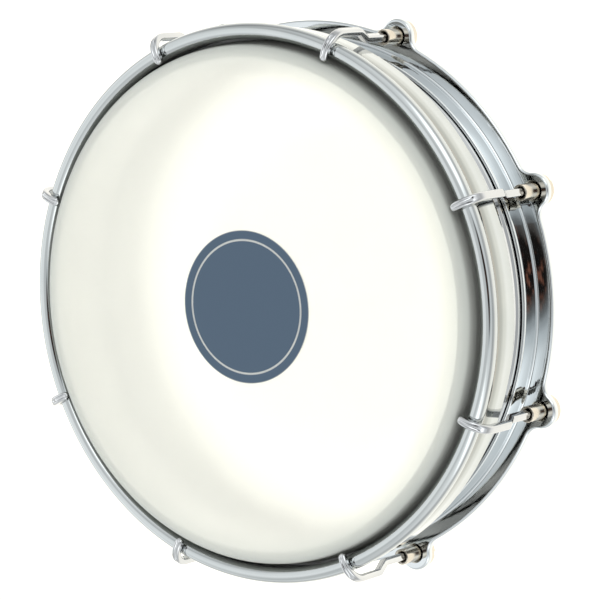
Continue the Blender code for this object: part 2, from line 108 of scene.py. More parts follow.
# Neck: how far it starts below the bead's middle, and the pull of its curves at both ends
NECK_DROP = 0.0066
NECK_RISE = 0.0024
NECK_PULL = (0.0008, 0.0009)
LINING_PULL = (0.0006, 0.0012)

# Painted shade in the hoop's neck under its bead and near the skirt's lower edge: share of the chrome's
# colour left by height
NECK_PAINTED_SHADE = (
    (0.0262, (0.72, 0.73, 0.72)),
    (0.0276, (0.95, 0.95, 0.94)),
    (0.0310, (1.0, 1.0, 1.0)),
    (0.0330, (0.84, 0.84, 0.82)),
    (0.0350, (0.58, 0.58, 0.56)),
    (0.0368, (0.48, 0.44, 0.39)),
    (0.0376, (0.60, 0.56, 0.52)),
    (0.0384, (1.0, 1.0, 1.0)),
    (0.0420, (1.0, 1.0, 1.0)),
)

# Head: a wall of FILM, white with a slight mottle, which lets through FILM_CLEAR of the light on
# its flat and less past its shoulder, where FILM_SHADE darkens it too
FILM = 0.00025
FILM_BEND = 0.0030
COLLAR_DROP = 0.0006
COLLAR_BEND = 0.002
FILM_CHANNEL_R = film_high.x - FILM
FILM_WHITES = ((0.975, 0.964, 0.912), (0.990, 0.979, 0.927))
FILM_ROUGHNESS = (0.36, 0.44)
FILM_IOR = 1.3
FILM_CLEAR = 0.66
FILM_CLEAR_EDGE = 0.40
FILM_EDGE_R = (0.0665, 0.0735)
FILM_SHADE = (
    (0.0, (1.0, 1.0, 1.0)),
    (0.0665, (1.0, 1.0, 1.0)),
    (0.0715, (0.985, 0.99, 0.98)),
    (0.0738, (0.96, 0.975, 0.955)),
    (0.0761, (0.86, 0.885, 0.87)),
    (0.0768, (0.52, 0.53, 0.52)),
    (0.0800, (0.48, 0.49, 0.48)),
)

# Disc printed on the head: share of ink by share of its radius, with one thin pale ring, on a
# ramp that ends DISC_SPAN from the middle
DISC_R = 0.0225
DISC_SPAN = 0.05
DISC_COLOUR = (0.085, 0.127, 0.181)
DISC_INK = (
    (0.0, 1.0),
    (0.86, 1.0),
    (0.865, 0.35),
    (0.885, 0.35),
    (0.89, 1.0),
    (0.997, 1.0),
    (1.003, 0.0),
    (DISC_SPAN / DISC_R, 0.0),
)

# Flesh hoop: a channel whose inner wall is lower than its outer one
CHANNEL_WALL = 0.0006
CHANNEL_EDGE = 0.0002
CHANNEL_INNER_DROP = 0.0008

# Ring: a leg with a slight bulge on a flange with ears. LEG_FOOT is where the leg's outline is
# aimed inside the flange, and FLANGE_FLAT the flat strip beside the flange's round edge.
LEG_WALL = 0.0011
FLANGE_R = 0.0827
FLANGE_TOP_Z = 0.0086
FLANGE_ROUND = 0.0008
FLANGE_LOW_ROUND = 0.0005
FLANGE_FLAT = 0.0002
LEG_BULGE = 0.00008
LEG_FILLET = 0.0007
LEG_FOOT = 0.004
LEG_EDGE = 0.0003
LEG_TOP_ROUND = 0.0004
EAR_R = ring_high.x - EAR_PITCH_R
EAR_FILLET = 0.0042

# Sleeve nut: barrel, blind bore and slotted head
BARREL_D = 0.0048
HOLE_D = BARREL_D + 2 * FIT
HOLE_LEAD = 0.0004
MOUTH_D = 0.0040
BORE_BOTTOM_Z = 0.0062
NUT_HEAD_ROUND = 0.0008
NUT_HEAD_EDGE = 0.0003
BARREL_EDGE = 0.0002
MOUTH_EDGE = 0.0001
SLOT_WIDTH = 0.0012
SLOT_DEPTH = 0.0010
SLOT_FIRST_DEG = 20
SLOT_STEP_DEG = 37

# Claw hook: from SQUARE_START_Z the wire turns square along SQUARE_RUN, steps outwards between
# SET_START_Z and SET_END_Z, and the leaf has its full form at LEAF_SHARE of the claw's arc
WIRE_D = 0.0025
BORE_D = WIRE_D + 2 * FIT
THREAD_PITCH = 0.00045
THREAD_DEPTH = 0.00014
SQUARE_START_Z = 0.0148
SQUARE_RUN = 0.0012
SQUARE_SIDE = 0.0023
SQUARE_CORNER = 0.0005
SET_START_Z = 0.0248
SET_END_Z = 0.0292
SET_BEND = 0.0016
BAR_R = 0.08575
BAR_WIDTH = 0.0025
BAR_THICKNESS = 0.0022
BAR_CORNER = 0.0006
CLAW_BEND = 0.0056
CLAW_CORNER = 0.0007
CLAW_THICKNESS = 0.0020
CLAW_WIDTH = 0.0027
CLAW_TIP_WIDTH = 0.0025
CLAW_TIP_ROUND = 0.0012
CLAW_OVERHANG = 0.0009
LEAF_SHARE = 0.5

# Least width and thickness of the claw's tip, as shares of the leaf's
TIP_LEAST_WIDTH = 0.15
TIP_LEAST_THICKNESS = 0.3

# Largest corner radius of the wire's section, as a share of its half width or half thickness
LARGEST_CORNER = 0.98

# Groove: where it starts along the claw, where it fades out in lengths of the round tip, and how
# much of the leaf's width it takes
GROOVE_DEPTH = 0.0005
GROOVE_START_SHARE = 0.33
GROOVE_FADE = (1.6, 0.5)
GROOVE_WIDTH_SHARE = 0.55

# The claw's arc: its inner face bears on the bead, and it ends past the bead's inner side
CLAW_CENTRE_R = BAR_R - CLAW_BEND
CLAW_ROOM = CLAW_BEND - CLAW_THICKNESS / 2 - FIT - BEAD_RADIUS
CLAW_CENTRE_Z = BEAD_Z - math.sqrt(CLAW_ROOM**2 - (BEAD_R - CLAW_CENTRE_R) ** 2)
CLAW_TIP_R = BEAD_R - BEAD_RADIUS - CLAW_OVERHANG
CLAW_TURN = math.pi / 2 + math.asin((CLAW_CENTRE_R - CLAW_TIP_R) / CLAW_BEND)
CLAW_TIP_SHARE = CLAW_TIP_ROUND / (CLAW_BEND * CLAW_TURN)

# Metals: two tints, two roughnesses, strength of the polishing lines and of the slight waves
METALS = {
    "shell_chrome": ((0.59, 0.60, 0.605), (0.64, 0.65, 0.655), (0.04, 0.08), 0.15, 0.04),
    "ring_chrome": ((0.68, 0.712, 0.722), (0.72, 0.745, 0.755), (0.02, 0.05), 0.10, 0.04),
    "hoop_chrome": ((0.575, 0.60, 0.60), (0.615, 0.635, 0.63), (0.03, 0.07), 0.15, 0.04),
    "hook_chrome": ((0.60, 0.61, 0.62), (0.66, 0.66, 0.66), (0.04, 0.09), 0.05, 0.10),
    "nut_nickel": ((0.62, 0.55, 0.46), (0.70, 0.66, 0.58), (0.10, 0.20), 0.05, 0.10),
    # The flesh hoop's tint is partly its aluminium and partly painted shade, darkened for the gap between
    # the head and the hoop's bead
    "channel_aluminium": ((0.36, 0.36, 0.355), (0.46, 0.46, 0.455), (0.30, 0.45), 0.4, 0.05),
}
POLISH_ALONG = 3.0
POLISH_ACROSS = 2600.0
POLISH_DEPTH = 0.00002
WAVE_DEPTH = 0.0002

# Noises as (scale, detail), and the part of their range that most of a noise falls in
TINT_NOISE = (90.0, 3.0)
GLOSS_NOISE = (160.0, 5.0)
POLISH_NOISE = (1.0, 2.0)
WAVE_NOISE = (55.0, 1.0)
MOTTLE_NOISE = (30.0, 4.0)
FILM_GLOSS_NOISE = (200.0, 4.0)
SMUDGE_NOISE = (14.0, 2.0)
NOISE_SPAN = (0.3, 0.7)

# Camera, found by fitting the rims and ears in the photo
CAMERA_AIM = (0.01534, -0.00423, 0.0396)
CAMERA_DISTANCE = 0.88197
CAMERA_AZIMUTH_DEG = -12.41
CAMERA_ELEVATION_DEG = 53.79
CAMERA_ROLL_DEG = 100.39
CAMERA_LENS_MM = 181.64
CAMERA_SENSOR_MM = 36.0
CAMERA_CLIP = (0.05, 20.0)

# Surroundings: brightness of the walls by azimuth in degrees, what the two soft boxes add to it,
# what the horizon keeps of it, the greyer ceiling, and the unlit side of the room by degrees from
# its middle, with brown smudges there
WORLD_STRENGTH = 1.22
WALL_TINT = (0.97, 1.0, 1.015)
WALLS = (
    (-180.0, 0.94),
    (-150.0, 0.62),
    (-125.0, 0.71),
    (-105.0, 0.82),
    (-76.0, 1.10),
    (-60.0, 1.14),
    (-49.0, 0.84),
    (-38.0, 0.74),
    (-5.0, 0.76),
    (14.0, 1.02),
    (34.0, 1.20),
    (62.0, 0.84),
    (90.0, 0.66),
    (106.0, 0.54),
    (130.0, 0.86),
    (180.0, 0.94),
)
SOFT_BOXES = (
    (-180.0, 0.0),
    (-88.0, 0.0),
    (-80.0, 0.45),
    (-66.0, 0.45),
    (-55.0, 0.0),
    (10.0, 0.0),
    (18.0, 0.45),
    (42.0, 0.45),
    (52.0, 0.0),
    (180.0, 0.0),
)
SOFT_BOX_BOTTOM_DEG = (8.0, 14.0)
SOFT_BOX_TOP_DEG = (46.0, 60.0)
HORIZON = (
    (-180.0, 1.35),
    (-135.0, 1.25),
    (-105.0, 0.62),
    (105.0, 0.62),
    (135.0, 1.25),
    (180.0, 1.35),
)
HORIZON_DEG = (7.0, 26.0)
CEILING = 0.63
CEILING_AZIMUTH_DEG = -12.41
CEILING_ELEVATION_DEG = 80.0
CEILING_REACH_DEG = (16.0, 34.0)
DARK_AZIMUTH_DEG = -18.0
DARK_ELEVATION_DEG = 55.0
DARK_SIDE = (
    (0.0, (0.012, 0.010, 0.010)),
    (8.0, (0.02, 0.016, 0.014)),
    (10.0, (0.14, 0.12, 0.11)),
    (12.3, (0.27, 0.27, 0.27)),
    (15.0, (0.62, 0.63, 0.64)),
    (18.0, (0.94, 0.95, 0.96)),
    (22.0, (1.0, 1.0, 1.0)),
)
SMUDGE = (0.34, 0.13, 0.08)
SMUDGE_SPAN = (-1.6, 1.0)
SMUDGE_REACH_DEG = (8.0, 12.3)

# Floor: painted light, a glow by distance from the drum's axis, brightest in a ring under the shell's wall
# and bright under the drum so that light comes through the head, white round the drum over its shadow, and
# greyer far away
FLOOR_HALF = 4.0
FLOOR_Z = -0.0001
FLOOR_ROUGHNESS = 0.9
FLOOR_COLOUR = (0.30, 0.30, 0.295)
FLOOR_GLOW = (
    (0.0, (1.30, 1.29, 1.16)),
    (0.0450, (1.34, 1.33, 1.20)),
    (0.0750, (1.75, 1.74, 1.62)),
    (0.0800, (1.12, 1.09, 1.00)),
    (0.125, (1.07, 1.04, 0.95)),
    (0.165, (0.86, 0.84, 0.80)),
    (0.22, (0.50, 0.50, 0.49)),
    (0.32, (0.32, 0.32, 0.315)),
    (FLOOR_HALF, (0.22, 0.22, 0.215)),
)

# Fineness: steps along arcs and round turned pieces
ROUND_STEPS = 288
NUT_STEPS = 64
FILLET_STEPS = 6
SHELL_EDGE_STEPS = 12
SHELL_LIP_STEPS = 10
SHELL_INNER_STEPS = 8
BEAD_STEPS = 56
CORE_STEPS = 24
NECK_STEPS = 10
LINING_STEPS = 8
FILM_STEPS = 18
CHANNEL_STEPS = 3
EAR_STEPS = 14
EAR_FILLET_STEPS = 10
RIM_STEPS = 14
FLANGE_STEPS = 7
FLANGE_LOW_STEPS = 5
LEG_STEPS = 8
LEG_EDGE_STEPS = 7
THREAD_STEPS = 8
HOOK_SPACING = 0.0004
HOOK_BEND_STEPS = 14
HOOK_CORNER_STEPS = 5
HOOK_TOP_STEPS = 16
CLAW_STEPS = 40
CLAW_TIP_STEPS = 8

# Faces that meet at more than SHARP_DEG keep their edge, and flat faces pull the normals
SHARP_DEG = 40
FLAT_WEIGHT = 80


def direction(azimuth_deg, elevation_deg):
    """Unit vector at an azimuth from +X and an elevation above the floor."""
    a = math.radians(azimuth_deg)
    e = math.radians(elevation_deg)
    return Vector((math.cos(a) * math.cos(e), math.sin(a) * math.cos(e), math.sin(e)))


def arc(centre_r, centre_z, radius, start_deg, end_deg, steps):
    """Points on an arc in the (r, z) plane, both ends included."""
    points = []
    for i in range(steps + 1):
        a = math.radians(start_deg + (end_deg - start_deg) * i / steps)
        points.append((centre_r + radius * math.cos(a), centre_z + radius * math.sin(a)))
    return points


def bezier(p0, p1, p2, p3, steps):
    """Points of a cubic curve, without its two ends."""
    points = []
    for i in range(1, steps):
        t = i / steps
        s = 1 - t
        points.append(
            tuple(
                s**3 * a + 3 * s * s * t * b + 3 * s * t * t * c + t**3 * d
                for a, b, c, d in zip(p0, p1, p2, p3)
            )
        )
    return points


def rounded(corners, closed=True, steps=FILLET_STEPS):
    """The points of an outline whose corners (x, y, radius) are rounded with arcs."""
    points = []
    count = len(corners)
    for i in range(count):
        x, y, radius = corners[i]
        here = Vector((x, y))
        at_end = not closed and i in (0, count - 1)
        if radius == 0 or at_end:
            points.append((x, y))
            continue
        before = (Vector(corners[i - 1][:2]) - here).normalized()
        after = (Vector(corners[(i + 1) % count][:2]) - here).normalized()
        half = before.angle(after) / 2
        reach = radius / math.tan(half)
        centre = here + (before + after).normalized() * (radius / math.sin(half))
        start = here + before * reach - centre
        end = here + after * reach - centre
        sweep = start.angle_signed(end)
        for k in range(steps + 1):
            spoke = Matrix.Rotation(-sweep * k / steps, 2) @ start
            points.append(tuple(centre + spoke))
    return points


def mesh_object(name, points, faces, body=None):
    """A smooth-shaded object in the frame's coordinates. A piece rides on a body, a cutter on none."""
    mesh = bpy.data.meshes.new(name)
    mesh.from_pydata([tuple(p) for p in points], [], faces)
    tidy = bmesh.new()
    tidy.from_mesh(mesh)
    bmesh.ops.recalc_face_normals(tidy, faces=tidy.faces)
    tidy.to_mesh(mesh)
    tidy.free()
    obj = bpy.data.objects.new(name, mesh)
    bpy.context.scene.collection.objects.link(obj)
    shade(obj)
    if body:
        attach(obj, body)
    return obj


def shade(obj):
    """Smooth faces, apart from edges where the surface turns sharply."""
    obj.data.shade_smooth()
    obj.data.set_sharp_from_angle(angle=math.radians(SHARP_DEG))


def weight_normals(obj):
    """Keeps large flat faces flat beside narrow rounded edges."""
    modifier = obj.modifiers.new("weighted", "WEIGHTED_NORMAL")
    modifier.keep_sharp = True
    modifier.weight = FLAT_WEIGHT


def revolved(profile, steps, centre=(0.0, 0.0)):
    """Points and faces of a closed (r, z) profile turned about a vertical axis."""
    points = []
    rows = []
    for r, z in profile:
        if r == 0:
            rows.append([len(points)] * steps)
            points.append((centre[0], centre[1], z))
            continue
        row = []
        for i in range(steps):
            a = 2 * math.pi * i / steps
            row.append(len(points))
            points.append((centre[0] + r * math.cos(a), centre[1] + r * math.sin(a), z))
        rows.append(row)
    faces = []
    count = len(profile)
    for j in range(count):
        lower = rows[j]
        upper = rows[(j + 1) % count]
        if lower[0] == lower[1] and upper[0] == upper[1]:
            continue
        for i in range(steps):
            k = (i + 1) % steps
            face = []
            for index in (lower[i], lower[k], upper[k], upper[i]):
                if index not in face:
                    face.append(index)
            faces.append(face)
    return points, faces


def cut(obj, cutter):
    """Cuts one solid from another and drops the cutter."""
    modifier = obj.modifiers.new("cut", "BOOLEAN")
    modifier.operation = "DIFFERENCE"
    modifier.solver = "EXACT"
    modifier.object = cutter
    bpy.context.view_layer.update()
    graph = bpy.context.evaluated_depsgraph_get()
    result = bpy.data.meshes.new_from_object(obj.evaluated_get(graph))
    obj.modifiers.remove(modifier)
    obj.data = result
    shade(obj)
    bpy.data.objects.remove(cutter)


def ear_angle(index):
    return 2 * math.pi * index / EARS


def ear_centre(index):
    """Where the nut's axis stands in the (x, y) plane."""
    a = ear_angle(index)
    return EAR_PITCH_R * math.cos(a), EAR_PITCH_R * math.sin(a)


# Shapes


def shell_outside():
    """Outer side of the shell from its rear lip up, with the stop rib rolled outwards."""
    peak = SHELL_R + RIB_CREST
    return rounded(
        [
            (SHELL_REAR_LIP_R, 0.0, 0),
            (SHELL_R, 0.0, SHELL_REAR_BEND),
            (SHELL_R, RIB_Z - RIB_HALF, RIB_FILLET),
            (peak, RIB_Z - RIB_CREST_HALF, RIB_FILLET),
            (peak, RIB_Z + RIB_CREST_HALF, RIB_FILLET),
            (SHELL_R, RIB_Z + RIB_HALF, RIB_FILLET),
            (SHELL_R, SHELL_HEIGHT - SHELL_EDGE_BEND, 0),
        ],
        closed=False,
    )


def shell_inside():
    """Inner side of the shell from its bearing edge down, hollow behind the rib."""
    inner = SHELL_R - SHELL_WALL
    hollow = inner + RIB_CREST
    return rounded(
        [
            (inner, SHELL_HEIGHT - SHELL_EDGE_BEND, 0),
            (inner, RIB_Z + RIB_HALF, RIB_INNER_FILLET),
            (hollow, RIB_Z + RIB_HOLLOW_HALF, RIB_HOLLOW_FILLET),
            (hollow, RIB_Z - RIB_HOLLOW_HALF, RIB_HOLLOW_FILLET),
            (inner, RIB_Z - RIB_HALF, RIB_INNER_FILLET),
            (inner, SHELL_WALL, SHELL_REAR_HOLLOW),
            (SHELL_REAR_LIP_R, SHELL_WALL, 0),
        ],
        closed=False,
    )


def shell_profile():
    """Rear edge turned in flat, and a rounded bearing edge that ends in a lip."""
    bend_r = SHELL_R - SHELL_EDGE_BEND
    bend_z = SHELL_HEIGHT - SHELL_EDGE_BEND
    lip_r = SHELL_EDGE_LIP_R + SHELL_LIP_ROUND
    lip_z = SHELL_HEIGHT - SHELL_LIP_ROUND
    top = arc(bend_r, bend_z, SHELL_EDGE_BEND, 0, 90, SHELL_EDGE_STEPS)
    lip = arc(lip_r, lip_z, SHELL_LIP_ROUND, 90, 270, SHELL_LIP_STEPS)
    under = arc(bend_r, bend_z, SHELL_EDGE_BEND - SHELL_WALL, 90, 0, SHELL_INNER_STEPS)
    return shell_outside() + top[1:] + lip + under + shell_inside()[1:]


def hoop_profile():
    """Straight skirt, hollow neck, and the bead curled outwards over the top and back."""
    inner = SKIRT_R - SKIRT_WALL
    neck_z = BEAD_Z - NECK_DROP
    bead = arc(BEAD_R, BEAD_Z, BEAD_RADIUS, BEAD_START_DEG, BEAD_END_DEG, BEAD_STEPS)
    core = arc(BEAD_R, BEAD_Z, BEAD_CORE, BEAD_END_DEG, CORE_END_DEG, CORE_STEPS)
    skirt = rounded(
        [
            (inner, neck_z, 0),
            (inner, SKIRT_BOTTOM_Z, SKIRT_INNER_EDGE),
            (SKIRT_R, SKIRT_BOTTOM_Z, SKIRT_OUTER_EDGE),
            (SKIRT_R, neck_z, 0),
        ],
        closed=False,
    )
    start_r, start_z = bead[0]
    end_r, end_z = core[-1]
    neck_pull = (start_r - NECK_PULL[0], start_z - NECK_PULL[1])
    lining_pull = (end_r - LINING_PULL[0], end_z - LINING_PULL[1])
    neck = bezier(skirt[-1], (SKIRT_R, neck_z + NECK_RISE), neck_pull, bead[0], NECK_STEPS)
    lining = bezier(core[-1], lining_pull, (inner, neck_z + NECK_RISE), skirt[0], LINING_STEPS)
    return skirt + neck + bead + core + lining


def film_profile():
    """Flat top, shoulder over the bearing edge, collar flaring into the channel."""
    side = SHELL_R + FIT
    bottom_z = film_high.z - FILM
    bend_r = side - FILM_BEND
    bend_z = bottom_z - FILM_BEND
    upper = [(0.0, film_high.z), (DISC_R, film_high.z), (0.5 * (DISC_R + bend_r), film_high.z)]
    upper += arc(bend_r, bend_z, FILM_BEND + FILM, 90, 0, FILM_STEPS)
    tail = rounded(
        [
            (side, bend_z, 0),
            (side, BEAD_Z - COLLAR_DROP, COLLAR_BEND),
            (FILM_CHANNEL_R, channel_high.z - COLLAR_DROP, COLLAR_BEND),
            (FILM_CHANNEL_R, film_low.z, 0),
        ],
        closed=False,
    )[1:]
    upper += [(r + FILM, z) for r, z in tail]
    under = list(reversed(tail))
    under += arc(bend_r, bend_z, FILM_BEND, 0, 90, FILM_STEPS)
    under += [(0.0, bottom_z)]
    return upper + under


def channel_profile():
    """A U open towards the head."""
    inner = SHELL_R + FIT
    outer = channel_high.x
    low = channel_low.z
    high = channel_high.z
    inner_high = high - CHANNEL_INNER_DROP
    edge = CHANNEL_EDGE
    return rounded(
        [
            (inner, low, edge),
            (outer, low, edge),
            (outer, high, edge),
            (outer - CHANNEL_WALL, high, edge),
            (outer - CHANNEL_WALL, low + CHANNEL_WALL, edge),
            (inner + CHANNEL_WALL, low + CHANNEL_WALL, edge),
            (inner + CHANNEL_WALL, inner_high, edge),
            (inner, inner_high, edge),
        ],
        steps=CHANNEL_STEPS,
    )


def ear_outline():
    """One eighth of the flange's outline, as (x, y, normal x, normal y), about the +X ear."""
    reach = FLANGE_R + EAR_FILLET
    span = EAR_R + EAR_FILLET
    cosine = (reach**2 + EAR_PITCH_R**2 - span**2) / (2 * reach * EAR_PITCH_R)
    turn = math.acos(cosine)
    fillet_x = reach * math.cos(turn)
    fillet_y = reach * math.sin(turn)
    ear_end = math.atan2(fillet_y, fillet_x - EAR_PITCH_R)
    half = [(EAR_PITCH_R + EAR_R, 0.0, 1.0, 0.0)]
    for i in range(1, EAR_STEPS + 1):
        a = ear_end * i / EAR_STEPS
        nx, ny = math.cos(a), math.sin(a)
        half.append((EAR_PITCH_R + EAR_R * nx, EAR_R * ny, nx, ny))
    for i in range(1, EAR_FILLET_STEPS + 1):
        a = ear_end + math.pi + (turn - ear_end) * i / EAR_FILLET_STEPS
        nx, ny = -math.cos(a), -math.sin(a)
        half.append((fillet_x - EAR_FILLET * nx, fillet_y - EAR_FILLET * ny, nx, ny))
    mirrored = [(x, -y, nx, -ny) for x, y, nx, ny in reversed(half[1:])]
    between = []
    for i in range(1, RIM_STEPS):
        a = turn + (2 * math.pi / EARS - 2 * turn) * i / RIM_STEPS
        nx, ny = math.cos(a), math.sin(a)
        between.append((FLANGE_R * nx, FLANGE_R * ny, nx, ny))
    return mirrored + half + between


def ring_section():
    """The ring's section: distances in from the outline on the rim, radii on the leg."""
    inner = SHELL_R + FIT
    leg_r = inner + LEG_WALL
    low_r = leg_r - LEG_BULGE
    top = ring_high.z
    low = ring_low.z
    rim = [(FLANGE_ROUND + FLANGE_FLAT, FLANGE_TOP_Z)]
    rim += arc(FLANGE_ROUND, FLANGE_TOP_Z - FLANGE_ROUND, FLANGE_ROUND, 90, 180, FLANGE_STEPS)
    rim += arc(FLANGE_LOW_ROUND, low + FLANGE_LOW_ROUND, FLANGE_LOW_ROUND, 180, 270, FLANGE_LOW_STEPS)
    face = []
    for i in range(1, LEG_STEPS):
        share = i / LEG_STEPS
        bulge = LEG_BULGE * (1 - (2 * share - 1) ** 2)
        face.append((low_r + bulge, top + (FLANGE_TOP_Z + LEG_FILLET - top) * share, 0))
    leg = rounded(
        [
            (leg_r + LEG_FOOT, low, 0),
            (inner, low, LEG_EDGE),
            (inner, top, LEG_EDGE),
            (low_r, top, LEG_TOP_ROUND),
            *face,
            (low_r, FLANGE_TOP_Z, LEG_FILLET),
            (leg_r + LEG_FOOT, FLANGE_TOP_Z, 0),
        ],
        closed=False,
        steps=LEG_EDGE_STEPS,
    )[1:-1]
    return [("rim", x, z) for x, z in rim] + [("leg", r, z) for r, z in leg]


def ring_mesh():
    """The L section carried round the eared outline."""
    section = ring_section()
    points = []
    stations = 0
    for index in range(EARS):
        turn = Matrix.Rotation(ear_angle(index), 2)
        for x, y, nx, ny in ear_outline():
            spot = turn @ Vector((x, y))
            normal = turn @ Vector((nx, ny))
            stations += 1
            for kind, value, z in section:
                flat = spot - normal * value if kind == "rim" else spot.normalized() * value
                points.append((flat.x, flat.y, z))
    faces = []
    width = len(section)
    for s in range(stations):
        following = (s + 1) % stations
        for j in range(width):
            k = (j + 1) % width
            faces.append((s * width + j, following * width + j, following * width + k, s * width + k))
    return points, faces


def hole_cutter():
    """Eight barrel holes, each with a small countersink on both faces of its ear."""
    half = HOLE_D / 2
    wide = half + HOLE_LEAD + CUT_PAST
    low = ring_low.z
    profile = [
        (0.0, low - CUT_PAST),
        (wide, low - CUT_PAST),
        (half, low + HOLE_LEAD),
        (half, FLANGE_TOP_Z - HOLE_LEAD),
        (wide, FLANGE_TOP_Z + CUT_PAST),
        (0.0, FLANGE_TOP_Z + CUT_PAST),
    ]
    points = []
    faces = []
    for index in range(EARS):
        some_points, some_faces = revolved(profile, NUT_STEPS, ear_centre(index))
        shift = len(points)
        points += some_points
        faces += [[i + shift for i in face] for face in some_faces]
    return mesh_object("hole_cutter", points, faces)


def nut_profile():
    """Head, barrel, and a blind bore open at the top."""
    head_r = nut_high.y
    head_top = ring_low.z - FIT
    barrel = BARREL_D / 2
    mouth = (MOUTH_D - BORE_D) / 2
    return rounded(
        [
            (0.0, nut_low.z, 0),
            (head_r, nut_low.z, NUT_HEAD_ROUND),
            (head_r, head_top, NUT_HEAD_EDGE),
            (barrel, head_top, 0),
            (barrel, nut_high.z, BARREL_EDGE),
            (MOUTH_D / 2, nut_high.z, MOUTH_EDGE),
            (BORE_D / 2, nut_high.z - mouth, MOUTH_EDGE),
            (BORE_D / 2, BORE_BOTTOM_Z, 0),
            (0.0, BORE_BOTTOM_Z, 0),
        ],
        closed=False,
    )


def slot_cutter(centre, turn):
    """A box across the nut's head for a screwdriver."""
    half_length = BARREL_D * 2
    half_width = SLOT_WIDTH / 2
    low = nut_low.z - CUT_PAST
    high = nut_low.z + SLOT_DEPTH
    points = []
    for z in (low, high):
        for x, y in ((-1, -1), (1, -1), (1, 1), (-1, 1)):
            flat = Matrix.Rotation(turn, 2) @ Vector((x * half_length, y * half_width))
            points.append((centre[0] + flat.x, centre[1] + flat.y, z))
    faces = [(3, 2, 1, 0), (4, 5, 6, 7), (0, 1, 5, 4), (1, 2, 6, 5), (2, 3, 7, 6), (3, 0, 4, 7)]
    return mesh_object("slot_cutter", points, faces)


def smooth_step(value, start, end):
    """A soft rise from 0 to 1 while a value goes from start to end."""
    t = min(1.0, max(0.0, (value - start) / (end - start)))
    return t * t * (3 - 2 * t)


def shank_size(z):
    """Width, thickness, corner radius and groove depth of the wire below the claw."""
    to_square = smooth_step(z, SQUARE_START_Z, SQUARE_START_Z + SQUARE_RUN)
    to_bar = smooth_step(z, SET_START_Z, SET_END_Z)
    side = WIRE_D + (SQUARE_SIDE - WIRE_D) * to_square
    width = side + (BAR_WIDTH - SQUARE_SIDE) * to_bar
    thickness = side + (BAR_THICKNESS - SQUARE_SIDE) * to_bar
    corner = 0.5 * WIRE_D + (SQUARE_CORNER - 0.5 * WIRE_D) * to_square
    corner += (BAR_CORNER - SQUARE_CORNER) * to_bar
    return width, thickness, corner, 0.0


def claw_size(share):
    """The same at a share of the claw's length: a grooved leaf with a round tip."""
    spread = smooth_step(share, 0.0, LEAF_SHARE)
    narrowed = smooth_step(share, LEAF_SHARE, 1.0)
    to_end = max(0.0, (share - 1 + CLAW_TIP_SHARE) / CLAW_TIP_SHARE)
    rounding = math.sqrt(1 - min(1.0, to_end) ** 2)
    width = BAR_WIDTH + (CLAW_WIDTH - BAR_WIDTH) * spread + (CLAW_TIP_WIDTH - CLAW_WIDTH) * narrowed
    width *= max(TIP_LEAST_WIDTH, rounding)
    thickness = BAR_THICKNESS + (CLAW_THICKNESS - BAR_THICKNESS) * spread
    thickness *= max(TIP_LEAST_THICKNESS, math.sqrt(rounding))
    fade_start, fade_end = (1 - part * CLAW_TIP_SHARE for part in GROOVE_FADE)
    groove = GROOVE_DEPTH * smooth_step(share, GROOVE_START_SHARE, LEAF_SHARE)
    groove *= 1 - smooth_step(share, fade_start, fade_end)
    return width, thickness, CLAW_CORNER, groove


def shank_stations():
    """Spots (r, z) of the wire's centre line up to the claw, each with the size of its section."""
    thread_end = Vector((EAR_PITCH_R, SQUARE_START_Z))
    bends = rounded(
        [
            (*thread_end, 0),
            (EAR_PITCH_R, SET_START_Z, SET_BEND),
            (BAR_R, SET_END_Z, SET_BEND),
            (BAR_R, CLAW_CENTRE_Z, 0),
        ],
        closed=False,
        steps=HOOK_BEND_STEPS,
    )
    stretches = [(Vector((EAR_PITCH_R, hook_low.z)), thread_end, THREAD_PITCH / THREAD_STEPS)]
    stretches += [(Vector(a), Vector(b), HOOK_SPACING) for a, b in zip(bends, bends[1:])]
    stations = []
    for first, second, spacing in stretches:
        count = max(1, round((second - first).length / spacing))
        for i in range(count):
            spot = first.lerp(second, i / count)
            stations.append((spot, shank_size(spot.y)))
    return stations


def claw_stations():
    """The same along the claw's arc, closer together in its round tip."""
    centre = Vector((CLAW_CENTRE_R, CLAW_CENTRE_Z))
    shares = [(1 - CLAW_TIP_SHARE) * i / CLAW_STEPS for i in range(CLAW_STEPS)]
    for i in range(CLAW_TIP_STEPS + 1):
        shares.append(1 - CLAW_TIP_SHARE * (1 - math.sin(math.pi / 2 * i / CLAW_TIP_STEPS)))
    stations = []
    for share in shares:
        spoke = Vector((math.cos(CLAW_TURN * share), math.sin(CLAW_TURN * share)))
        stations.append((centre + CLAW_BEND * spoke, claw_size(share)))
    return stations


def hook_section(width, thickness, corner, groove):
    """Points of one section as (sideways, outwards): a rounded bar with a groove on top."""
    w = width / 2
    h = thickness / 2
    c = min(corner, LARGEST_CORNER * w, LARGEST_CORNER * h)
    points = []
    for i in range(1, HOOK_TOP_STEPS):
        x = -(w - c) + 2 * (w - c) * i / HOOK_TOP_STEPS
        hollow = max(0.0, 1 - (x / (GROOVE_WIDTH_SHARE * w)) ** 2)
        points.append((x, h - groove * hollow))
    for cx, cy, start in ((w - c, h - c, 90), (w - c, c - h, 0), (c - w, c - h, -90), (c - w, h - c, 180)):
        for i in range(HOOK_CORNER_STEPS + 1):
            a = math.radians(start - 90 * i / HOOK_CORNER_STEPS)
            points.append((cx + c * math.cos(a), cy + c * math.sin(a)))
    return points


def threaded(section, turn):
    """The section cut in by a V thread that has gone round this many turns."""
    points = []
    for x, y in section:
        phase = (math.atan2(x, y) / (2 * math.pi) + turn) % 1.0
        size = math.hypot(x, y)
        share = (size - THREAD_DEPTH * abs(2 * phase - 1)) / size
        points.append((x * share, y * share))
    return points


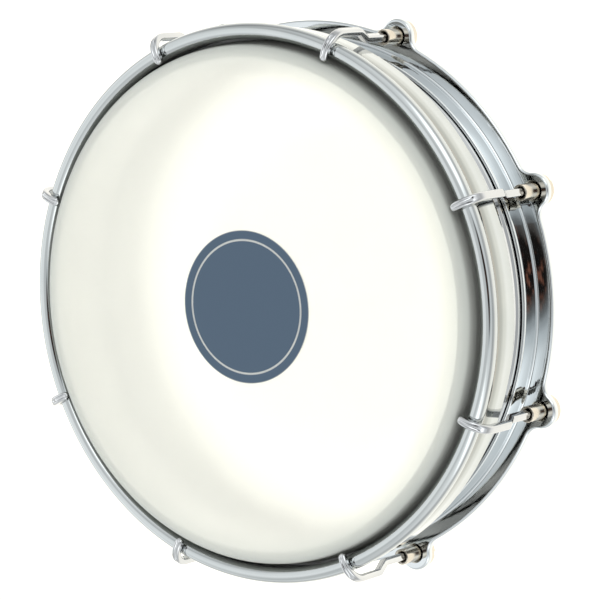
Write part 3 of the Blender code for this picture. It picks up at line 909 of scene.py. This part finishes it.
def hook_mesh(index):
    """The claw hook of one ear, swept along its centre line."""
    a = ear_angle(index)
    radial = Vector((math.cos(a), math.sin(a), 0.0))
    side = Vector((-math.sin(a), math.cos(a), 0.0))
    stations = shank_stations() + claw_stations()
    path = [spot for spot, size in stations]
    points = []
    for i, (spot, size) in enumerate(stations):
        ahead = path[min(i + 1, len(path) - 1)]
        behind = path[max(i - 1, 0)]
        run = (ahead - behind).normalized()
        outwards = radial * run.y - Vector((0.0, 0.0, 1.0)) * run.x
        section = hook_section(*size)
        if spot.y < SQUARE_START_Z:
            section = threaded(section, (spot.y - hook_low.z) / THREAD_PITCH)
        centre = radial * spot.x + Vector((0.0, 0.0, spot.y))
        for sideways, out in section:
            points.append(centre + side * sideways + outwards * out)
    around = len(points) // len(path)
    faces = [tuple(range(around))]
    for s in range(len(path) - 1):
        low = s * around
        high = low + around
        for j in range(around):
            k = (j + 1) % around
            faces.append((low + j, low + k, high + k, high + j))
    faces.append(tuple(reversed(range(len(points) - around, len(points)))))
    return points, faces


# Materials


def new_material(name):
    material = bpy.data.materials.new(name)
    material.use_nodes = True
    return material, material.node_tree.nodes, material.node_tree.links


def link_noise(nodes, links, vector, scale, detail, low, high):
    """A noise between two values, as an output socket."""
    noise = nodes.new("ShaderNodeTexNoise")
    noise.inputs["Scale"].default_value = scale
    noise.inputs["Detail"].default_value = detail
    links.new(vector, noise.inputs["Vector"])
    span = nodes.new("ShaderNodeMapRange")
    span.inputs["From Min"].default_value = NOISE_SPAN[0]
    span.inputs["From Max"].default_value = NOISE_SPAN[1]
    span.inputs["To Min"].default_value = low
    span.inputs["To Max"].default_value = high
    links.new(noise.outputs["Fac"], span.inputs["Value"])
    return span.outputs["Result"]


def link_math(nodes, links, operation, first, second=None):
    """One arithmetic step on sockets or plain numbers, as an output socket."""
    node = nodes.new("ShaderNodeMath")
    node.operation = operation
    for slot, value in enumerate((first, second)):
        if value is None:
            continue
        if isinstance(value, bpy.types.NodeSocket):
            links.new(value, node.inputs[slot])
        else:
            node.inputs[slot].default_value = value
    return node.outputs["Value"]


def link_ramp(nodes, links, value, low, high, stops, interpolation="EASE"):
    """A colour ramp over a span of values, from (value, colour) stops."""
    span = nodes.new("ShaderNodeMapRange")
    span.inputs["From Min"].default_value = low
    span.inputs["From Max"].default_value = high
    links.new(value, span.inputs["Value"])
    ramp = nodes.new("ShaderNodeValToRGB")
    ramp.color_ramp.interpolation = interpolation
    elements = ramp.color_ramp.elements
    while len(elements) < len(stops):
        elements.new(0.5)
    for element, (place, colour) in zip(elements, stops):
        element.position = (place - low) / (high - low)
        element.color = (*colour, 1.0)
    links.new(span.outputs["Result"], ramp.inputs["Fac"])
    return ramp.outputs["Color"]


def tinted(stops, tint=(1.0, 1.0, 1.0)):
    """Stops of one number each as stops of a colour."""
    return [(place, [value * part for part in tint]) for place, value in stops]


def link_fade(nodes, links, value, start, end, first=0.0, last=1.0):
    """A smooth change from one number to another while a value goes from start to end."""
    fade = nodes.new("ShaderNodeMapRange")
    fade.interpolation_type = "SMOOTHSTEP"
    fade.inputs["From Min"].default_value = start
    fade.inputs["From Max"].default_value = end
    fade.inputs["To Min"].default_value = first
    fade.inputs["To Max"].default_value = last
    links.new(value, fade.inputs["Value"])
    return fade.outputs["Result"]


def link_mix(nodes, links, blend_type, factor, first, second):
    """A mix of two colours, each a socket or a plain colour."""
    mix = nodes.new("ShaderNodeMix")
    mix.data_type = "RGBA"
    mix.blend_type = blend_type
    for name, value in (("Factor", factor), ("A", first), ("B", second)):
        if isinstance(value, bpy.types.NodeSocket):
            links.new(value, mix.inputs[name])
        elif name == "Factor":
            mix.inputs[name].default_value = value
        else:
            mix.inputs[name].default_value = (*value, 1.0)
    return mix.outputs["Result"]


def link_bump(nodes, links, height, strength, distance, normal=None):
    """A bump from a height, on top of another bump if one is given."""
    bump = nodes.new("ShaderNodeBump")
    bump.inputs["Strength"].default_value = strength
    bump.inputs["Distance"].default_value = distance
    links.new(height, bump.inputs["Height"])
    if normal:
        links.new(normal, bump.inputs["Normal"])
    return bump.outputs["Normal"]


def link_radius(nodes, links, place):
    """Distance from the drum's axis."""
    flat = nodes.new("ShaderNodeVectorMath")
    flat.operation = "MULTIPLY"
    flat.inputs[1].default_value = (1.0, 1.0, 0.0)
    links.new(place, flat.inputs[0])
    away = nodes.new("ShaderNodeVectorMath")
    away.operation = "LENGTH"
    links.new(flat.outputs["Vector"], away.inputs[0])
    return away.outputs["Value"]


def link_wound(nodes, links, place):
    """Coordinates wound round the drum's axis, stretched along the polishing lines."""
    split = nodes.new("ShaderNodeSeparateXYZ")
    links.new(place, split.inputs["Vector"])
    angle = link_math(nodes, links, "ARCTAN2", split.outputs["Y"], split.outputs["X"])
    radius = link_radius(nodes, links, place)
    wound = nodes.new("ShaderNodeCombineXYZ")
    for source, target, size in (
        (angle, "X", POLISH_ALONG),
        (radius, "Y", POLISH_ACROSS),
        (split.outputs["Z"], "Z", POLISH_ACROSS),
    ):
        links.new(link_math(nodes, links, "MULTIPLY", source, size), wound.inputs[target])
    return wound.outputs["Vector"]


def polished_metal(name):
    """Bright metal: polishing lines round the axis, slight waves and uneven gloss."""
    tint_low, tint_high, roughness, lines, waves = METALS[name]
    material, nodes, links = new_material(name)
    shader = nodes["Principled BSDF"]
    shader.inputs["Metallic"].default_value = 1.0
    place = nodes.new("ShaderNodeTexCoord").outputs["Object"]
    patches = link_noise(nodes, links, place, *TINT_NOISE, 0.0, 1.0)
    links.new(link_mix(nodes, links, "MIX", patches, tint_low, tint_high), shader.inputs["Base Color"])
    gloss = link_noise(nodes, links, place, *GLOSS_NOISE, *roughness)
    links.new(gloss, shader.inputs["Roughness"])
    wound = link_wound(nodes, links, place)
    line_height = link_noise(nodes, links, wound, *POLISH_NOISE, 0.0, 1.0)
    line_bump = link_bump(nodes, links, line_height, lines, POLISH_DEPTH)
    wave_height = link_noise(nodes, links, place, *WAVE_NOISE, 0.0, 1.0)
    wave_bump = link_bump(nodes, links, wave_height, waves, WAVE_DEPTH, line_bump)
    links.new(wave_bump, shader.inputs["Normal"])
    return material


def hoop_material():
    """The hoop's chrome, with painted shade in the hollow below its bead."""
    material = polished_metal("hoop_chrome")
    nodes = material.node_tree.nodes
    links = material.node_tree.links
    shader = nodes["Principled BSDF"]
    unshaded_chrome = shader.inputs["Base Color"].links[0].from_socket
    place = nodes.new("ShaderNodeTexCoord").outputs["Object"]
    split = nodes.new("ShaderNodeSeparateXYZ")
    links.new(place, split.inputs["Vector"])
    # Painted shade in the neck under the bead, by height
    painted_shade = link_ramp(nodes, links, split.outputs["Z"], NECK_PAINTED_SHADE[0][0], NECK_PAINTED_SHADE[-1][0], NECK_PAINTED_SHADE)
    links.new(link_mix(nodes, links, "MULTIPLY", 1.0, unshaded_chrome, painted_shade), shader.inputs["Base Color"])
    return material


def link_disc(nodes, links, away):
    """Share of ink at a distance from the drum's axis."""
    stops = [(share * DISC_R, (ink, ink, ink)) for share, ink in DISC_INK]
    return link_ramp(nodes, links, away, 0.0, DISC_SPAN, stops, "LINEAR")


def link_film_white(nodes, links, place, away):
    """The film's slightly mottled white, shaded past its shoulder."""
    mottle = link_noise(nodes, links, place, *MOTTLE_NOISE, 0.0, 1.0)
    white = link_mix(nodes, links, "MIX", mottle, *FILM_WHITES)
    edge = link_ramp(nodes, links, away, 0.0, FILM_SHADE[-1][0], FILM_SHADE)
    return link_mix(nodes, links, "MULTIPLY", 1.0, white, edge)


def head_material():
    """White polyester film that lets some light through, with a plain slate disc printed on it."""
    material, nodes, links = new_material("head_film")
    shader = nodes["Principled BSDF"]
    place = nodes.new("ShaderNodeTexCoord").outputs["Object"]
    away = link_radius(nodes, links, place)
    ink = link_disc(nodes, links, away)
    white = link_film_white(nodes, links, place, away)
    links.new(link_mix(nodes, links, "MIX", ink, white, DISC_COLOUR), shader.inputs["Base Color"])
    bare = link_math(nodes, links, "SUBTRACT", 1.0, ink)
    clear = link_fade(nodes, links, away, *FILM_EDGE_R, FILM_CLEAR, FILM_CLEAR_EDGE)
    links.new(link_math(nodes, links, "MULTIPLY", bare, clear), shader.inputs["Transmission Weight"])
    gloss = link_noise(nodes, links, place, *FILM_GLOSS_NOISE, *FILM_ROUGHNESS)
    links.new(gloss, shader.inputs["Roughness"])
    shader.inputs["IOR"].default_value = FILM_IOR
    return material


def floor_material():
    """Pale studio floor with a painted glow, so that it stays white beside the drum where its shadow
    falls.
    """
    material, nodes, links = new_material("studio_floor")
    shader = nodes["Principled BSDF"]
    shader.inputs["Base Color"].default_value = (*FLOOR_COLOUR, 1.0)
    shader.inputs["Roughness"].default_value = FLOOR_ROUGHNESS
    place = nodes.new("ShaderNodeTexCoord").outputs["Object"]
    away = nodes.new("ShaderNodeVectorMath")
    away.operation = "LENGTH"
    links.new(place, away.inputs[0])
    # Painted glow by distance from the drum's axis
    glow = link_ramp(nodes, links, away.outputs["Value"], 0.0, FLOOR_GLOW[-1][0], FLOOR_GLOW)
    links.new(glow, shader.inputs["Emission Color"])
    shader.inputs["Emission Strength"].default_value = 1.0
    return material


# Pieces


def dress(piece, material, node):
    """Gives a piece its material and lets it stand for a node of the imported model."""
    piece.data.materials.clear()
    piece.data.materials.append(material)
    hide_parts(node)


def make_turned(node, profile, material):
    """A piece of the drum that is turned about its axis."""
    piece = mesh_object(f"{node}_fine", *revolved(profile, ROUND_STEPS), "drum")
    dress(piece, material, node)
    weight_normals(piece)


def make_ring():
    """The eared ring with its eight holes."""
    ring = mesh_object("tension_ring_fine", *ring_mesh(), "drum")
    cut(ring, hole_cutter())
    dress(ring, polished_metal("ring_chrome"), "tension_ring")
    weight_normals(ring)


def make_nut(index, material):
    """A slotted sleeve nut. The slots stand at different turns, as tuning leaves them."""
    number = index + 1
    node = f"tuning_nut_{number}"
    centre = ear_centre(index)
    slot_turn = ear_angle(index) + math.radians(SLOT_FIRST_DEG + SLOT_STEP_DEG * index)
    nut = mesh_object(f"{node}_fine", *revolved(nut_profile(), NUT_STEPS, centre), f"nut_{number}")
    cut(nut, slot_cutter(centre, slot_turn))
    dress(nut, material, node)
    weight_normals(nut)


def make_hook(index, material):
    """A claw hook, one wire from its threaded end to its tip."""
    number = index + 1
    node = f"claw_hook_{number}"
    hook = mesh_object(f"{node}_fine", *hook_mesh(index), f"hook_{number}")
    dress(hook, material, node)


def make_pieces():
    """The drum's five rings and skins, then a nut and a hook for each ear."""
    # Aluminium darkened with painted shade for the gap under the hoop's bead
    aluminium_and_painted_shade = polished_metal("channel_aluminium")
    make_turned("shell", shell_profile(), polished_metal("shell_chrome"))
    make_turned("counter_hoop", hoop_profile(), hoop_material())
    make_turned("drum_head", film_profile(), head_material())
    make_turned("flesh_hoop", channel_profile(), aluminium_and_painted_shade)
    make_ring()
    nickel = polished_metal("nut_nickel")
    chrome = polished_metal("hook_chrome")
    for index in range(EARS):
        make_nut(index, nickel)
        make_hook(index, chrome)


# Stage


def make_floor():
    """A plain pale floor just below the drum."""
    mesh = bpy.data.meshes.new("floor")
    corners = [(x * FLOOR_HALF, y * FLOOR_HALF, FLOOR_Z) for x, y in ((-1, -1), (1, -1), (1, 1), (-1, 1))]
    mesh.from_pydata(corners, [], [(0, 1, 2, 3)])
    floor = bpy.data.objects.new("floor", mesh)
    bpy.context.scene.collection.objects.link(floor)
    mesh.materials.append(floor_material())


def link_angle_from(nodes, links, vector, towards):
    """Angle in degrees between a ray and one direction."""
    facing = nodes.new("ShaderNodeVectorMath")
    facing.operation = "DOT_PRODUCT"
    facing.inputs[1].default_value = towards
    links.new(vector, facing.inputs[0])
    radians = link_math(nodes, links, "ARCCOSINE", facing.outputs["Value"])
    return link_math(nodes, links, "MULTIPLY", radians, math.degrees(1))


def link_walls(nodes, links, ray):
    """Studio walls by azimuth, with two soft boxes and another brightness at the horizon."""
    split = nodes.new("ShaderNodeSeparateXYZ")
    links.new(ray, split.inputs["Vector"])
    around = link_math(nodes, links, "ARCTAN2", split.outputs["Y"], split.outputs["X"])
    azimuth = link_math(nodes, links, "MULTIPLY", around, math.degrees(1))
    rise = link_math(nodes, links, "ARCSINE", split.outputs["Z"])
    elevation = link_math(nodes, links, "MULTIPLY", rise, math.degrees(1))
    walls = link_ramp(nodes, links, azimuth, -180.0, 180.0, tinted(WALLS, WALL_TINT))
    boxes = link_ramp(nodes, links, azimuth, -180.0, 180.0, tinted(SOFT_BOXES))
    box_low = link_fade(nodes, links, elevation, *SOFT_BOX_BOTTOM_DEG)
    box_high = link_fade(nodes, links, elevation, *SOFT_BOX_TOP_DEG, 1.0, 0.0)
    box_part = link_math(nodes, links, "MULTIPLY", box_low, box_high)
    lit = link_mix(nodes, links, "ADD", box_part, walls, boxes)
    low_part = link_fade(nodes, links, elevation, *HORIZON_DEG, 1.0, 0.0)
    horizon = link_ramp(nodes, links, azimuth, -180.0, 180.0, tinted(HORIZON))
    return link_mix(nodes, links, "MULTIPLY", low_part, lit, horizon)


def link_ceiling(nodes, links, ray, colour):
    """The greyer ceiling over the walls."""
    overhead = link_angle_from(nodes, links, ray, direction(CEILING_AZIMUTH_DEG, CEILING_ELEVATION_DEG))
    part = link_fade(nodes, links, overhead, *CEILING_REACH_DEG, 1.0, 0.0)
    roof = [CEILING * value for value in WALL_TINT]
    return link_mix(nodes, links, "MIX", part, colour, roof)


def link_dark_side(nodes, links, ray, colour):
    """The unlit side of the room, with brown smudges in its middle."""
    away = link_angle_from(nodes, links, ray, direction(DARK_AZIMUTH_DEG, DARK_ELEVATION_DEG))
    shade = link_ramp(nodes, links, away, 0.0, 180.0, DARK_SIDE)
    shaded = link_mix(nodes, links, "MULTIPLY", 1.0, colour, shade)
    smudges = link_noise(nodes, links, ray, *SMUDGE_NOISE, *SMUDGE_SPAN)
    near = link_fade(nodes, links, away, *SMUDGE_REACH_DEG, 1.0, 0.0)
    part = link_math(nodes, links, "MULTIPLY", smudges, near)
    return link_mix(nodes, links, "ADD", part, shaded, SMUDGE)


def make_world():
    """The studio round the drum, as brightness by direction."""
    world = bpy.data.worlds.new("studio")
    bpy.context.scene.world = world
    world.use_nodes = True
    nodes = world.node_tree.nodes
    links = world.node_tree.links
    ray = nodes.new("ShaderNodeTexCoord").outputs["Generated"]
    walls = link_walls(nodes, links, ray)
    room = link_ceiling(nodes, links, ray, walls)
    background = nodes["Background"]
    background.inputs["Strength"].default_value = WORLD_STRENGTH
    links.new(link_dark_side(nodes, links, ray, room), background.inputs["Color"])


def make_camera():
    """A long lens at the photo's angle."""
    back = direction(CAMERA_AZIMUTH_DEG, CAMERA_ELEVATION_DEG)
    level = (-back).cross(Vector((0.0, 0.0, 1.0))).normalized()
    upright = level.cross(-back)
    roll = math.radians(CAMERA_ROLL_DEG)
    up = upright * math.cos(roll) + level * math.sin(roll)
    right = (-back).cross(up)
    turn = Matrix((right, up, back)).transposed().to_4x4()
    data = bpy.data.cameras.new("camera")
    data.lens = CAMERA_LENS_MM
    data.sensor_width = CAMERA_SENSOR_MM
    data.clip_start, data.clip_end = CAMERA_CLIP
    camera = bpy.data.objects.new("camera", data)
    camera.matrix_world = Matrix.Translation(Vector(CAMERA_AIM) + back * CAMERA_DISTANCE) @ turn
    bpy.context.scene.collection.objects.link(camera)
    bpy.context.scene.camera = camera


make_pieces()
make_floor()
make_world()
make_camera()
bpy.context.scene.view_settings.view_transform = "Standard"
